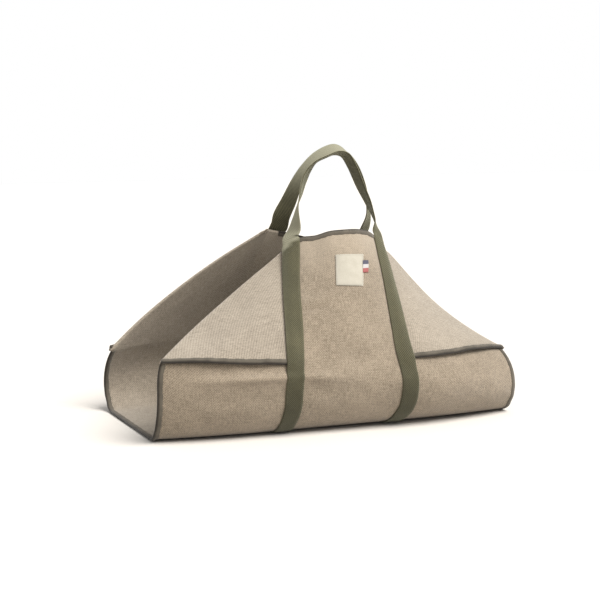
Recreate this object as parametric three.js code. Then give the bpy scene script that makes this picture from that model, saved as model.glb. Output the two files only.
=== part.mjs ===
// A canvas log carrier: one rectangle of cloth that lies as a U, with its four corners folded outwards,
// two webbing straps sewn right round it, two webbing handles, taped edges, a bare patch and a ribbon tab.
// Millimetres, +Z up, +X along the carrier, front towards -Y. It stands on the straps at Z = 0.

import * as THREE from "three";

// Cloth
const clothHalf = 325; // half of the cloth's width, along X
const clothWall = 1.6;
const foldGap = 2.4; // air between a panel and the corner folded out over it
const foldStart = 4; // how far outside the strap a fold meets the top hem
const flapTuck = 10; // how far a folded corner reaches under the strap

// Webbing
const strapWidth = 32;
const strapThick = 2;
const strapCentre = 100; // from the middle of the cloth to a strap's centre line
const strapMargin = 0.5; // cloth columns stand this far outside the strap's edges

// Edge tape, a channel that takes the cloth's edge
const tapeBite = 9; // how far it reaches over the cloth
const tapeWall = 0.8;
const tapeClear = 0.8;
const tapeEndGap = 3; // distance that a tape's end keeps from the next tape
const tapeFoldGap = 9; // from a fold
const tapeStrapGap = 1.5; // from a strap

// Patch and tab
const patchWall = 0.8;
const tabWall = 0.6;
const tabLength = 14;

const seat = 0.35; // clearance where two pieces touch

// Worked out from the sizes above
const strapInner = strapCentre - strapWidth / 2;
const strapOuter = strapCentre + strapWidth / 2;
const wingStart = strapOuter + strapMargin; // outside this line the cloth runs out to a fold
const innerColumn = strapInner - strapMargin;
const bottomZ = strapThick + seat + clothWall / 2; // middle of the cloth's wall where it lies flat
const flapLift = clothWall + foldGap; // from the middle of a panel's wall to the middle of the flap's
const front = -1;
const back = 1;
const left = -1;
const right = 1;

// Cross-sections of the front, from the left end to the right end. The back has them turned half round.
// across: place on the cloth; floor: half depth lying flat; belly, bellyZ: where the wall stands furthest out;
// rise: how upright it leaves there; ease: below 1 sets the wall's rows higher up, above 1 lower down.
const sections = [
  { across: -325, floor: 112, belly: 157, bellyZ: 85, rise: 150, ease: 1.1 },
  { across: -100, floor: 128, belly: 190, bellyZ: 90, rise: 140, ease: 1.08 },
  { across: 100, floor: 127, belly: 197, bellyZ: 74, rise: 70, ease: 0.8 },
  { across: 325, floor: 115, belly: 153, bellyZ: 45, rise: 120, ease: 0.8 },
];

// Shoulder corners, where a side edge turns into a fold.
// x, y, z: place (x and y without sign); sagIn, sagDown: how far the fold's middle hangs inwards and down.
const corners = [
  { face: front, side: left, x: 320, y: 158, z: 133, sagIn: 35, sagDown: 0 },
  { face: front, side: right, x: 320, y: 124, z: 109, sagIn: 52, sagDown: 10 },
  { face: back, side: left, x: 320, y: 124, z: 109, sagIn: -22, sagDown: -10 },
  { face: back, side: right, x: 320, y: 158, z: 133, sagIn: 20, sagDown: 0 },
];

// Top hems. sway: how far the top leans along X; y: half depth at the folds; bulge: how far the middle stands out
// past that; z: height in the middle; drop: how much lower it is at the folds; tilt: rise from the middle to the
// right fold; gather: width left of the flat width.
const hems = [
  { face: front, sway: 31, y: 35, bulge: 38, z: 323, drop: 36, tilt: 0, gather: 0.85 },
  { face: back, sway: 46, y: 56, bulge: -26, z: 306, drop: -3, tilt: -9, gather: 0.865 },
];

// Places along the wall from the belly (0) to the hem (1), one row of the cloth's mesh each.
const shoulder = 0.2;
const patchRows = [0.652, 0.73, 0.844];
const tabRows = [0.73, 0.8];
const wallPlaces = [0, 0.1, shoulder, 0.31, 0.42, 0.535, ...patchRows, 0.92, 1];
const roundSteps = 6;
const floorSteps = 2;

// Places across the middle panel, one column each, then equal columns out to each fold or side edge.
const patchEdges = [-18, 38];
const panelColumns = [-wingStart, -innerColumn, -50, ...patchEdges, innerColumn, wingStart];
const wingSteps = 6;
const foldTurns = [-45, 0, 45]; // degrees round the roll of a fold

// Handles, from left to right. turn: direction of the webbing's width in plan, from +X; tip: how far it rises.
const handleRows = {
  handle_front: [
    { x: -42, y: -36, z: 324, turn: -62, tip: 12 },
    { x: -36, y: -30, z: 346, turn: -94, tip: 4 },
    { x: -32, y: -27, z: 364, turn: -110, tip: 1 },
    { x: -25, y: -24, z: 383, turn: -121, tip: 0 },
    { x: -18, y: -21, z: 404, turn: -129, tip: 0 },
    { x: -8, y: -19, z: 423, turn: -130, tip: 1 },
    { x: 6, y: -19, z: 438, turn: -121, tip: 4 },
    { x: 27, y: -16.5, z: 446, turn: -105, tip: 8 },
    { x: 48, y: -11, z: 450.5, turn: -95, tip: 9 },
    { x: 63, y: -10, z: 446.5, turn: -88, tip: 8 },
    { x: 78, y: -9, z: 427, turn: -84, tip: 6 },
    { x: 93, y: -13, z: 395, turn: -85, tip: 4 },
    { x: 102, y: -18, z: 369, turn: -92, tip: 2 },
    { x: 107, y: -24, z: 350, turn: -104, tip: 3 },
    { x: 112, y: -31, z: 330, turn: -117, tip: 6 },
  ],
  handle_back: [
    { x: -33, y: 42, z: 342, turn: -38, tip: 0 },
    { x: -23, y: 34, z: 368, turn: -52, tip: 0 },
    { x: -10, y: 27, z: 402, turn: -70, tip: -3 },
    { x: 3, y: 22, z: 426, turn: -82, tip: -8 },
    { x: 21, y: 17, z: 445.5, turn: -88, tip: -16 },
    { x: 41, y: 11, z: 457, turn: -90, tip: -22 },
    { x: 58, y: 8, z: 460.5, turn: -90, tip: -24 },
    { x: 75, y: 8, z: 454, turn: -90, tip: -20 },
    { x: 90, y: 9, z: 436, turn: -90, tip: -12 },
    { x: 106, y: 14, z: 408, turn: -95, tip: -4 },
    { x: 117, y: 19, z: 382, turn: -102, tip: 0 },
    { x: 124, y: 26, z: 357, turn: -114, tip: 0 },
    { x: 129, y: 34, z: 336, turn: -132, tip: 0 },
  ],
};
const handleSteps = 56;
const handleLead = 10; // how far a handle runs on in its strap's direction
const creaseShare = 0.09; // share of a handle's length over which the crease at the hem runs out

const finishes = {
  canvas: { color: 0xc2b49b, roughness: 0.95 },
  webbing: { color: 0x66634e, roughness: 0.85 },
  tape: { color: 0x5b564b, roughness: 0.9 },
  patch: { color: 0xdbd8ca, roughness: 0.95 },
  ribbon: { color: 0x3d4566, roughness: 0.8 },
};

// Surface of the cloth: the middle of its wall

const mix = (from, to, share) => from + (to - from) * share;

// One of the sections' values at a place across the cloth: straight between the straps, curving out to the ends.
function sectionValue(name, across, face) {
  const place = face === front ? across : -across;
  const [leftEnd, leftStrap, rightStrap, rightEnd] = sections.map((section) => section[name]);
  const share = THREE.MathUtils.clamp((place + strapCentre) / (2 * strapCentre), 0, 1);
  const outward = Math.max(0, (Math.abs(place) - wingStart) / (clothHalf - wingStart));
  return mix(mix(leftStrap, rightStrap, share), place < 0 ? leftEnd : rightEnd, outward ** 2);
}

function floorPoint(across, share, face) {
  return new THREE.Vector3(across, face * share * sectionValue("floor", across, face), bottomZ);
}

// A quarter ellipse from the flat bottom up to the belly.
function roundPoint(across, share, face) {
  const angle = (share * Math.PI) / 2;
  const floor = sectionValue("floor", across, face);
  const depth = mix(floor, sectionValue("belly", across, face), Math.sin(angle));
  const height = bottomZ + sectionValue("bellyZ", across, face) * (1 - Math.cos(angle));
  return new THREE.Vector3(across, face * depth, height);
}

function hemPoint(across, face) {
  const hem = hems.find((row) => row.face === face);
  const depth = hem.y + hem.bulge * Math.cos((Math.PI * across) / (2 * wingStart));
  const height = hem.z + (hem.tilt * across) / wingStart - hem.drop * (across / wingStart) ** 2;
  return new THREE.Vector3(hem.sway + hem.gather * across, face * depth, height);
}

// Middle panel: a cubic that leaves the belly upright and leans in to the hem.
function panelPoint(across, place, face) {
  const share = place ** sectionValue("ease", across, face);
  const belly = roundPoint(across, 1, face);
  const hem = hemPoint(across, face);
  const leave = new THREE.Vector3(0, 0, sectionValue("rise", across, face));
  const arrive = hem.clone().sub(belly);
  return new THREE.Vector3()
    .addScaledVector(belly, 2 * share ** 3 - 3 * share ** 2 + 1)
    .addScaledVector(leave, share ** 3 - 2 * share ** 2 + share)
    .addScaledVector(hem, 3 * share ** 2 - 2 * share ** 3)
    .addScaledVector(arrive, share ** 3 - share ** 2);
}

// Side edge up to the shoulder corner, and from there the fold up to the strap.
function outerPoint(place, side, face) {
  const corner = corners.find((row) => row.face === face && row.side === side);
  const turn = new THREE.Vector3(side * corner.x, face * corner.y, corner.z);
  if (place <= shoulder) {
    const belly = roundPoint(side * clothHalf, 1, face);
    const share = place / shoulder;
    const lean = share ** 2;
    return new THREE.Vector3(mix(belly.x, turn.x, lean), mix(belly.y, turn.y, lean), mix(belly.z, turn.z, share));
  }
  const share = (place - shoulder) / (1 - shoulder);
  const top = panelPoint(side * wingStart, 1, face);
  top.add(new THREE.Vector3(side * foldStart, 0, -foldStart));
  const sag = new THREE.Vector3(0, -face * corner.sagIn, -corner.sagDown);
  return turn.lerp(top, share).addScaledVector(sag, 4 * share * (1 - share));
}

// Wing between a strap (out = 0) and the side edge or fold (out = 1), hollow low down and straight at the top.
function wingPoint(out, place, side, face) {
  const strapLine = panelPoint(side * wingStart, place, face);
  const edge = outerPoint(place, side, face);
  const point = strapLine.clone().lerp(edge, out);
  point.y = mix(strapLine.y, edge.y, out ** (2 - place));
  return point;
}

// Mesh of the cloth: rows from the front hem under the bottom to the back hem, columns from left to right

function makeRows() {
  const half = [];
  for (const place of [...wallPlaces].reverse()) half.push({ zone: "wall", place });
  for (let step = roundSteps - 1; step >= 0; step--) half.push({ zone: "round", place: step / roundSteps });
  for (let step = floorSteps - 1; step > 0; step--) half.push({ zone: "floor", place: step / floorSteps });
  const frontRows = half.map((row) => ({ ...row, face: front }));
  const backRows = half.map((row) => ({ ...row, face: back })).reverse();
  return [...frontRows, { zone: "floor", place: 0, face: front }, ...backRows];
}

function makeColumns() {
  const outward = Array.from({ length: wingSteps }, (_, step) => (step + 1) / wingSteps);
  const wing = (side, out) => ({ side, out, across: side * mix(wingStart, clothHalf, out) });
  const middle = panelColumns.map((across) => ({ side: Math.sign(across), out: 0, across }));
  const leftWing = outward.map((out) => wing(left, out)).reverse();
  return [...leftWing, ...middle, ...outward.map((out) => wing(right, out))];
}

function clothPoint(row, column) {
  if (row.zone === "floor") return floorPoint(column.across, row.place, row.face);
  if (row.zone === "round") return roundPoint(column.across, row.place, row.face);
  if (column.out === 0) return panelPoint(column.across, row.place, row.face);
  return wingPoint(column.out, row.place, column.side, row.face);
}

const rows = makeRows();
const columns = makeColumns();
const points = rows.flatMap((row) => columns.map((column) => clothPoint(row, column)));
const at = (row, column) => row * columns.length + column;

// Quads whose normals point out of the carrier.
const quads = [];
for (let row = 0; row + 1 < rows.length; row++) {
  for (let column = 0; column + 1 < columns.length; column++) {
    quads.push([at(row, column), at(row + 1, column), at(row + 1, column + 1), at(row, column + 1)]);
  }
}

function vertexNormals(vertices, faces) {
  const normals = vertices.map(() => new THREE.Vector3());
  for (const [a, b, c, d] of faces) {
    const first = vertices[c].clone().sub(vertices[a]);
    const second = vertices[d].clone().sub(vertices[b]);
    const normal = first.cross(second);
    for (const index of [a, b, c, d]) normals[index].add(normal);
  }
  return normals.map((normal) => normal.normalize());
}

const normals = vertexNormals(points, quads);

const findRow = (face, place) => rows.findIndex(
  (row) => row.zone === "wall" && row.face === face && row.place === place,
);
const findColumn = (across) => columns.findIndex((column) => column.out === 0 && column.across === across);
const edgeColumn = (side) => (side === left ? 0 : columns.length - 1);

// A point and its normal at a place across one row of the mesh, between two neighbouring columns.
function between(row, firstColumn, secondColumn, share) {
  const first = at(row, firstColumn);
  const second = at(row, secondColumn);
  return {
    point: points[first].clone().lerp(points[second], share),
    normal: normals[first].clone().lerp(normals[second], share).normalize(),
  };
}

// Geometry

function toGeometry(vertices, triangles) {
  const geometry = new THREE.BufferGeometry();
  geometry.setAttribute("position", new THREE.Float32BufferAttribute(vertices.flatMap((v) => v.toArray()), 3));
  geometry.setIndex(triangles);
  geometry.computeVertexNormals();
  return geometry;
}

const splitQuad = ([a, b, c, d]) => [a, b, c, a, c, d];

// A sheet of quads given a wall: both faces, and a strip round every open edge.
function thickenSheet(vertices, faces, wall) {
  const offsets = vertexNormals(vertices, faces);
  const count = vertices.length;
  const outer = vertices.map((vertex, index) => vertex.clone().addScaledVector(offsets[index], wall / 2));
  const inner = vertices.map((vertex, index) => vertex.clone().addScaledVector(offsets[index], -wall / 2));
  const edges = new Map();
  const triangles = [];
  for (const face of faces) {
    triangles.push(...splitQuad(face));
    triangles.push(...splitQuad(face).map((index) => index + count).reverse());
    face.forEach((from, corner) => edges.set(`${from},${face[(corner + 1) % 4]}`, [from, face[(corner + 1) % 4]]));
  }
  for (const [from, to] of edges.values()) {
    if (!edges.has(`${to},${from}`)) triangles.push(...splitQuad([to, from, from + count, to + count]));
  }
  return toGeometry([...outer, ...inner], triangles);
}

function signedVolume(vertices, triangles) {
  let volume = 0;
  for (let index = 0; index < triangles.length; index += 3) {
    const [a, b, c] = triangles.slice(index, index + 3).map((corner) => vertices[corner]);
    volume += a.dot(b.clone().cross(c)) / 6;
  }
  return volume;
}

// A closed profile carried along a path: one ring of points for each station, and the same cap at both ends.
// The faces are turned round where the path runs against the profile's order.
function sweepRings(rings, cap) {
  const size = rings[0].length;
  const vertices = rings.flat();
  const last = vertices.length - size;
  const triangles = [];
  for (let ring = 0; ring + 1 < rings.length; ring++) {
    for (let side = 0; side < size; side++) {
      const next = (side + 1) % size;
      const low = ring * size;
      const high = low + size;
      triangles.push(...splitQuad([low + side, low + next, high + next, high + side]));
    }
  }
  for (const [a, b, c] of cap) triangles.push(a, c, b, last + a, last + b, last + c);
  return toGeometry(vertices, signedVolume(vertices, triangles) < 0 ? triangles.reverse() : triangles);
}

// Canvas: the panel's mesh with a rolled fold and a flap added at each corner

function buildCanvas() {
  const vertices = [...points];
  const faces = [...quads];
  for (const { face, side } of corners) {
    const edge = edgeColumn(side);
    const shoulderRow = findRow(face, shoulder);
    const hemRow = findRow(face, 1);
    const firstRow = Math.min(shoulderRow, hemRow);
    const lastRow = Math.max(shoulderRow, hemRow);
    let previous = null;
    for (let row = firstRow; row <= lastRow; row++) {
      const strip = flapStrip(row, side, edge);
      const indices = [at(row, edge), ...strip.map((vertex) => vertices.push(vertex) - 1)];
      if (previous) {
        for (let step = 0; step + 1 < indices.length; step++) {
          const quad = [indices[step], indices[step + 1], previous[step + 1], previous[step]];
          faces.push(side === right ? quad : quad.reverse());
        }
      }
      previous = indices;
    }
  }
  return thickenSheet(vertices, faces, clothWall);
}

// One row of a folded corner: round the roll of the fold, then back over the wing to under the strap.
function flapStrip(row, side, edge) {
  const tip = points[at(row, edge)];
  const normal = normals[at(row, edge)];
  const outward = tip.clone().sub(points[at(row, edge - side)]);
  outward.addScaledVector(normal, -outward.dot(normal)).normalize();
  const radius = flapLift / 2;
  const roll = foldTurns.map((degrees) => {
    const angle = THREE.MathUtils.degToRad(degrees);
    return tip.clone()
      .addScaledVector(normal, radius * (1 + Math.sin(angle)))
      .addScaledVector(outward, radius * Math.cos(angle));
  });
  const flat = [];
  for (let step = 0; step <= wingSteps; step++) {
    const index = at(row, edge - side * step);
    flat.push(points[index].clone().addScaledVector(normals[index], flapLift));
  }
  const strapLine = edge - side * wingSteps;
  const tuck = between(row, strapLine, strapLine - side, flapTuck / (wingStart - innerColumn));
  flat.push(tuck.point.addScaledVector(tuck.normal, flapLift));
  return [...roll, ...flat];
}

// Webbing straps, sewn on the outside from hem to hem; they step up over the folded corners

const webbingShares = [-1, 2 * flapTuck / strapWidth - 1, 1 - 2 * flapTuck / strapWidth, 1]; // of half its width
const webbingCap = [[0, 1, 6], [0, 6, 7], [1, 2, 5], [1, 5, 6], [2, 3, 4], [2, 4, 5]];

// Section of a strap on one row of the cloth: along its underside from left to right, then back along its top.
function strapRing(row, side) {
  const leftColumn = findColumn(side === left ? -wingStart : innerColumn);
  const span = wingStart - innerColumn;
  const shares = [strapMargin, flapTuck, span - flapTuck, span - strapMargin].map((place) => place / span);
  const line = shares.map((share) => between(row, leftColumn, leftColumn + 1, share));
  const overFlap = rows[row].zone === "wall" ? Math.min(1, rows[row].place / shoulder) : 0;
  const low = clothWall / 2 + seat + flapLift * Math.max(0, 2 * overFlap - 1);
  const raise = (height) => line.map(({ point, normal }) => point.clone().addScaledVector(normal, height));
  return [...raise(low), ...raise(low + strapThick).reverse()];
}

function buildStrap(side) {
  return sweepRings(rows.map((_, row) => strapRing(row, side)), webbingCap);
}

// Handles: flat webbing along a smooth path that starts and ends on the straps

const averageOf = (list) => list.reduce((sum, point) => sum.add(point), new THREE.Vector3())
  .divideScalar(list.length);

// The webbing's section where a strap leaves the cloth, a seat's width past the strap's own end.
function strapEnd(face, side) {
  const hemRow = findRow(face, 1);
  const ring = strapRing(hemRow, side);
  const along = averageOf(ring).sub(averageOf(strapRing(hemRow - face, side))).normalize();
  for (const point of ring) point.addScaledVector(along, seat);
  const middle = averageOf(ring);
  const width = ring[3].clone().sub(ring[0]).multiplyScalar(-side).normalize();
  const turn = THREE.MathUtils.radToDeg(Math.atan2(width.y, width.x));
  const tip = THREE.MathUtils.radToDeg(Math.asin(width.z));
  const station = (point) => ({ x: point.x, y: point.y, z: point.z, turn: turn > 90 ? turn - 360 : turn, tip });
  return { ring, along, stations: [station(middle), station(middle.clone().addScaledVector(along, handleLead))] };
}

// Half of the webbing's width as a vector, from its direction in plan and its rise.
function widthVector(turn, tip) {
  const plan = new THREE.Vector3(1, 0, 0).applyAxisAngle(new THREE.Vector3(0, 0, 1), THREE.MathUtils.degToRad(turn));
  const rise = THREE.MathUtils.degToRad(tip);
  return plan.multiplyScalar(Math.cos(rise)).setZ(Math.sin(rise)).multiplyScalar(strapWidth / 2);
}

// Rings stand square to the path, except that the webbing is creased along the hem: near its two ends they turn
// from the hem's slant to square.
function buildHandle(name, face) {
  const start = strapEnd(face, left);
  const end = strapEnd(face, right);
  const stations = [...start.stations, ...handleRows[name], ...end.stations.reverse()];
  const smooth = (list) => new THREE.CatmullRomCurve3(list, false, "centripetal");
  const path = smooth(stations.map(({ x, y, z }) => new THREE.Vector3(x, y, z)));
  const twist = smooth(stations.map(({ turn, tip }) => new THREE.Vector3(turn, tip, 0)));
  const inner = [];
  for (let step = 1; step < handleSteps; step++) {
    const share = step / handleSteps;
    const along = path.getTangent(share);
    const square = THREE.MathUtils.smoothstep(Math.min(share, 1 - share), 0, creaseShare);
    const { x: turn, y: tip } = twist.getPoint(share);
    const width = widthVector(turn, tip);
    width.addScaledVector(along, -square * width.dot(along));
    const thick = width.clone().cross(along).setLength(strapThick / 2);
    const middle = path.getPoint(share);
    const line = (up) => webbingShares.map((across) =>
      middle.clone().addScaledVector(width, across).addScaledVector(thick, up));
    inner.push([...line(-1), ...line(1).reverse()]);
  }
  const half = end.ring.length / 2;
  const turnedEnd = [...end.ring.slice(0, half).reverse(), ...end.ring.slice(half).reverse()];
  return sweepRings([start.ring, ...inner, turnedEnd], webbingCap);
}

// Edge tape: a channel whose profile is given outwards from the cloth's edge and up from its middle

const channelInside = clothWall / 2 + tapeClear;
const channelOutside = channelInside + tapeWall;
const channelNose = tapeClear + tapeWall;
const channelProfile = [
  [-tapeBite, channelInside],
  [tapeClear, channelInside],
  [tapeClear, -channelInside],
  [-tapeBite, -channelInside],
  [-tapeBite, -channelOutside],
  [tapeClear, -channelOutside],
  [channelNose, -channelInside],
  [channelNose, channelInside],
  [tapeClear, channelOutside],
  [-tapeBite, channelOutside],
];
const channelCap = [
  [0, 1, 8], [0, 8, 9], [1, 2, 7], [1, 7, 8], [2, 6, 7], [2, 3, 4], [2, 4, 5], [2, 5, 6],
];

// Stations give a point on the cloth's edge and a point further in on the cloth.
function buildTape(stations) {
  const rings = stations.map(({ point, inside }, station) => {
    const before = stations[Math.max(0, station - 1)].point;
    const after = stations[Math.min(stations.length - 1, station + 1)].point;
    const along = after.clone().sub(before).normalize();
    const outward = point.clone().sub(inside);
    outward.addScaledVector(along, -outward.dot(along)).normalize();
    const normal = along.cross(outward);
    return channelProfile.map(([out, up]) =>
      point.clone().addScaledVector(outward, out).addScaledVector(normal, up));
  });
  return sweepRings(rings, channelCap);
}

function mixStations(first, second, share) {
  return {
    point: first.point.clone().lerp(second.point, share),
    inside: first.inside.clone().lerp(second.inside, share),
  };
}

// Move a path's two end stations inwards by a length.
function shortenPath(stations, startGap, endGap) {
  const path = [...stations];
  const last = path.length - 1;
  const startShare = startGap / path[0].point.distanceTo(path[1].point);
  const endShare = endGap / path[last].point.distanceTo(path[last - 1].point);
  const start = mixStations(path[0], path[1], startShare);
  const end = mixStations(path[last], path[last - 1], endShare);
  return [start, ...path.slice(1, last), end];
}

function buildSideTape(side) {
  const edge = edgeColumn(side);
  const stations = [];
  for (let row = findRow(front, shoulder); row <= findRow(back, shoulder); row++) {
    const index = at(row, edge);
    stations.push({ point: points[index], inside: points[at(row, edge - side)] });
  }
  return buildTape(shortenPath(stations, tapeEndGap, tapeEndGap));
}

function buildShoulderTape({ face, side }) {
  const edge = edgeColumn(side);
  const row = findRow(face, shoulder);
  const lifted = (index) => points[index].clone().addScaledVector(normals[index], flapLift);
  const stations = [];
  for (let step = 0; step <= wingSteps; step++) {
    const column = edge - side * step;
    const index = at(row, column);
    stations.push({ point: lifted(index), inside: lifted(at(row + face, column)) });
  }
  return buildTape(shortenPath(stations, tapeFoldGap, tapeStrapGap));
}

function buildHemTape(face) {
  const row = findRow(face, 1);
  const firstColumn = findColumn(-wingStart);
  const stations = [];
  for (let column = firstColumn; column <= findColumn(wingStart); column++) {
    const index = at(row, column);
    stations.push({ point: points[index], inside: points[at(row - face, column)] });
  }
  const reach = flapTuck + tapeEndGap;
  return buildTape(shortenPath(stations, reach, reach));
}

// Patch and tab: thin sheets laid on the front panel

function laidCorner(corner, wall) {
  const height = clothWall / 2 + 2 * seat + wall / 2;
  return corner.point.clone().addScaledVector(corner.normal, height);
}

function buildPatch() {
  const [patchLeft, patchRight] = patchEdges.map(findColumn);
  const stations = [...patchRows].reverse().map((place) => {
    const row = findRow(front, place);
    return [patchLeft, patchRight].map((column) =>
      laidCorner({ point: points[at(row, column)], normal: normals[at(row, column)] }, patchWall));
  });
  const vertices = stations.flat();
  const faces = stations.slice(1).map((_, step) => [2 * step, 2 * step + 2, 2 * step + 3, 2 * step + 1]);
  return thickenSheet(vertices, faces, patchWall);
}

function buildTab() {
  const [, patchRight] = patchEdges;
  const column = findColumn(patchRight);
  const span = innerColumn - patchRight;
  const low = findRow(front, tabRows[0]);
  const share = (tabRows[1] - tabRows[0]) / (rows[low - 1].place - tabRows[0]);
  const cornerAt = (length, up) => {
    const lower = between(low, column, column + 1, length / span);
    const upper = between(low - 1, column, column + 1, length / span);
    const normal = lower.normal.lerp(upper.normal, up).normalize();
    return laidCorner({ point: lower.point.lerp(upper.point, up), normal }, tabWall);
  };
  const near = 2 * seat;
  const vertices = [cornerAt(near, share), cornerAt(near, 0), cornerAt(tabLength, 0), cornerAt(tabLength, share)];
  return thickenSheet(vertices, [[0, 1, 2, 3]], tabWall);
}

// Assembly

const carrier = new THREE.Group();

function addPiece(name, geometry, finish) {
  const material = new THREE.MeshStandardMaterial({ ...finishes[finish], metalness: 0 });
  const mesh = new THREE.Mesh(geometry, material);
  mesh.name = name;
  carrier.add(mesh);
}

const sideNames = new Map([[left, "left"], [right, "right"]]);
const faceNames = new Map([[front, "front"], [back, "back"]]);

addPiece("canvas_body", buildCanvas(), "canvas");
for (const [side, sideName] of sideNames) {
  addPiece(`tape_${sideName}`, buildSideTape(side), "tape");
  addPiece(`strap_${sideName}`, buildStrap(side), "webbing");
}
for (const corner of corners) {
  const name = `tape_${faceNames.get(corner.face)}_${sideNames.get(corner.side)}`;
  addPiece(name, buildShoulderTape(corner), "tape");
}
for (const [face, faceName] of faceNames) {
  addPiece(`tape_${faceName}_top`, buildHemTape(face), "tape");
  addPiece(`handle_${faceName}`, buildHandle(`handle_${faceName}`, face), "webbing");
}
addPiece("patch", buildPatch(), "patch");
addPiece("ribbon_tab", buildTab(), "ribbon");

export default carrier;
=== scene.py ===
import math

import bpy
import numpy as np
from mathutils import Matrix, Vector


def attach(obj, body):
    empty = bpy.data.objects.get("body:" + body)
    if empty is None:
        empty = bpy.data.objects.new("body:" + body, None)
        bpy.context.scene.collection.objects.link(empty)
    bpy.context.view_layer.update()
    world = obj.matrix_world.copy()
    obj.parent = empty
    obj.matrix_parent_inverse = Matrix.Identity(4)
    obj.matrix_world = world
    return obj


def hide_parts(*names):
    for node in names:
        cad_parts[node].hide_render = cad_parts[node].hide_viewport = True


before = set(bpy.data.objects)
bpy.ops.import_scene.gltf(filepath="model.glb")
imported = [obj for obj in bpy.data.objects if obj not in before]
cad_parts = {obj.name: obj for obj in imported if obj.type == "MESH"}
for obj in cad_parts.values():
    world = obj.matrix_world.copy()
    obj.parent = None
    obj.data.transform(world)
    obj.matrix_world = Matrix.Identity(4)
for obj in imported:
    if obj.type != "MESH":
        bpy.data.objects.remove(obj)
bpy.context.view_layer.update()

front, back = -1.0, 1.0  # faces: towards -Y and +Y
left, right = -1.0, 1.0  # sides: towards -X and +X
print("frame loaded:", len(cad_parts), "nodes")

# Shape of the cloth, in metres. run counts its rows: -3 at the front hem, -2 at the belly, -1 where it lies
# flat, 0 in the middle of the bottom, 3 at the back hem.
cloth = {
    "half": 0.325,  # half of its width, along X
    "wall": 0.0016,
    "floorZ": 0.00315,  # middle of its wall where it lies flat
    "wingStart": 0.1165,  # outside this line it runs out to a fold
    "foldStart": 0.004,  # how far outside the strap a fold meets the hem
    "shoulder": 0.2,  # share of the wall where the folds start
    "flareRise": 0.04,  # share over which a held-out corner runs into its fold
    "flarePower": 8,  # how close to the edge that keeps
    "flatWidth": 0.65,
    "flatLength": 1.05,
    "acrossCells": (36, 56, 36),  # over a wing, the panel and the other wing
    "runCells": (10, 16, 17, 67),  # over half the bottom, a bend, and a wall below and above the shoulder
    "belowHem": 2.97,  # a run close to a hem
    "normalStep": 0.008,  # stretch that a normal is taken over, smooth over the crease beside a strap
    "runsPerMetre": 5,
    "waveSize": 0.0011,  # of the slow waves that all the cloth has
    "waveRuns": (1.15, 1.6),  # between these runs they and the dents set in
    "waveEnd": (0.1045, 0.1205),  # between these lines they run out into a wing's narrow end
    "hemHighlight": 0.62,  # how much paler it is painted up to the hems: a painted highlight where the upper panel leans back to the light
    "hemHighlightRun": 2.68,  # and from where
    "foldHighlightWidth": 0.005,  # of the painted highlight along a fold's rolled edge
}
strap = {
    "centre": 0.100,  # from the middle of the cloth
    "half": 0.0152,  # half of its width
    "thick": 0.0020,
    "edgeRound": 0.0007,
    "topPoints": 7,
    "cells": 250,
    "stiffness": 0.015,  # stretch of cloth that it lies flat over
    "seat": 0.00035,
    "climb": 0.0004,  # more room beside a folded corner
    "climbFrom": 0.55,  # share of the shoulder's height where it starts to climb onto one
    "climbEdge": 0.3,  # share of its half width where it is up
    "wander": 0.0052,  # how far the front straps run off their lines to the left
    "wanderLeft": ((1.2, 1.7), (2.65, 3.0)),  # runs where that sets in and runs out
    "wanderRight": ((2.05, 2.3), (2.6, 2.95)),
    "slip": 0.0095,  # the same where they turn under the bottom
    "slipRuns": ((0.3, 1.1), (1.15, 1.75)),
    "crease": 0.014,  # how far below the front hem it starts on the left
    "creaseSoft": (-0.002, 0.003),
    "stitchInset": 0.0027,
    "stitchEnd": 2.985,  # run where its long seams end
    "seamDepths": (0.045, 0.075),  # runs below a hem where seams cross it
}
flap = {
    "tuck": 0.020,  # how far it reaches under the strap
    "unit": 0.1,  # metres that a step of out stands for there
    "liftFold": 0.0040,  # between the panel's middle and the flap's, at the fold
    "liftStrap": 0.0024,  # and under the strap
    "hemRoom": 0.0010,  # more room for the tape on its lower edge
    "puff": 0.0042,  # how far that edge stands off in the middle
    "looseTop": 0.62,  # share of the wall up to which it does
    "swell": 0.0016,
    "rollCells": 6,
    "rollStep": 0.004,
    "cells": 34,
    "tuckCells": 4,
}

# Front cross-sections at the left end, left strap, right strap and right end. The back's are turned round.
sections = {
    "floor": (0.112, 0.128, 0.127, 0.115),  # half depth lying flat
    "belly": (0.157, 0.190, 0.197, 0.153),  # half depth where the wall stands furthest out
    "bellyZ": (0.085, 0.090, 0.074, 0.045),
    "rise": (0.150, 0.140, 0.070, 0.120),  # how upright it leaves there
    "ease": (1.1, 1.08, 0.8, 0.8),
}

# Shoulder corners: front left, front right, back left, back right.
corners = {
    "x": (0.320, 0.308, 0.320, 0.320),
    "y": (0.158, 0.124, 0.124, 0.158),
    "z": (0.133, 0.1125, 0.109, 0.133),
    "sagIn": (0.025, 0.052, -0.022, 0.020),  # how far the fold's middle hangs inwards
    "sagDown": (0.006, 0.010, -0.010, 0.0),
    "hold": (0.0, 0.104, 0.0, 0.0),  # how the strap holds the fold's upper end up
    "flareOut": (0.0, 0.0085, 0.0, 0.0),  # how far the tape holds the corner out
    "flareUp": (0.0, -0.0040, 0.0, 0.0),
    "foldHighlight": (1.0, 1.0, 0.1, 1.0),  # how pale the fold's edge is painted: a painted highlight on the rolled fold
}

# Top hems, front and back.
hems = {
    "sway": (0.031, 0.046),
    "y": (0.035, 0.056),
    "bulge": (0.038, -0.026),
    "z": (0.323, 0.306),
    "drop": (0.036, -0.003),
    "tilt": (0.0, -0.009),
    "gather": (0.785, 0.845),
    "dip": (0.0062, 0.0065),  # a slack place towards the left
    "dipAt": (-0.5, -0.3),  # share of the way out
    "dipWide": (0.2, 0.32),
}

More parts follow.
